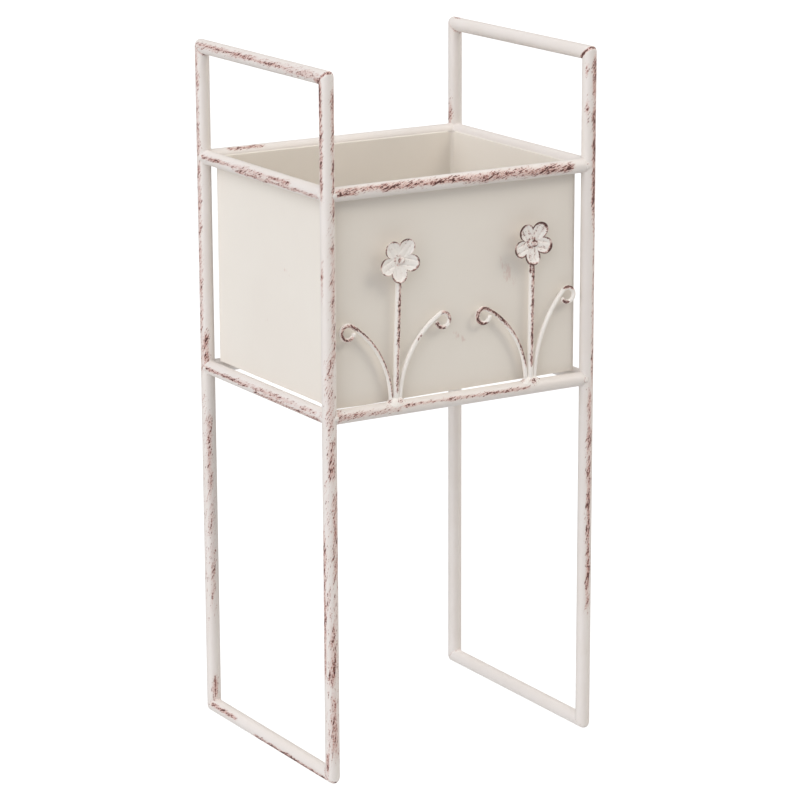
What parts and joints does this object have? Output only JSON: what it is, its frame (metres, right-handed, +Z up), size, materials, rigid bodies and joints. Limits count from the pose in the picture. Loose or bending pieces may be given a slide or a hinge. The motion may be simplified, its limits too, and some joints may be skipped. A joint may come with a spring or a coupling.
{
  "type": "plant stand",
  "caption": "Welded tube plant stand with a handle at each end, a sheet-metal planter box hung in a rail ring and wire flowers on its front, in rubbed cream paint.",
  "frame": {"origin": "on the floor, under the middle of the stand", "axes": "+Z up, -Y towards the front with the flowers, +X to the right as seen from the front"},
  "size_m": [0.2208, 0.1838, 0.495],
  "materials": {
    "tube_paint": "satin cream paint, rubbed through to brown in streaks",
    "box_paint": "smooth satin cream paint with a few faint scuffs",
    "flower_paint": "satin cream paint, rubbed brown along the edges"
  },
  "bodies": {
    "root": {"left_front_leg": "tube_paint", "left_back_leg": "tube_paint", "left_handle_bar": "tube_paint", "left_floor_bar": "tube_paint", "right_front_leg": "tube_paint", "right_back_leg": "tube_paint", "right_handle_bar": "tube_paint", "right_floor_bar": "tube_paint", "front_upper_rail": "tube_paint", "back_upper_rail": "tube_paint", "left_upper_rail": "tube_paint", "right_upper_rail": "tube_paint", "front_lower_rail": "tube_paint", "back_lower_rail": "tube_paint", "left_lower_rail": "tube_paint", "right_lower_rail": "tube_paint", "frame_welds": "tube_paint", "planter_wall": "box_paint", "planter_base": "box_paint", "rim_welds": "box_paint", "left_flower_stem": "flower_paint", "left_flower_head": "flower_paint", "left_flower_rivet": "flower_paint", "left_flower_left_leaf": "flower_paint", "left_flower_right_leaf": "flower_paint", "right_flower_stem": "flower_paint", "right_flower_head": "flower_paint", "right_flower_rivet": "flower_paint", "right_flower_left_leaf": "flower_paint", "right_flower_right_leaf": "flower_paint", "flower_welds": "flower_paint"}
  },
  "joints": []
}
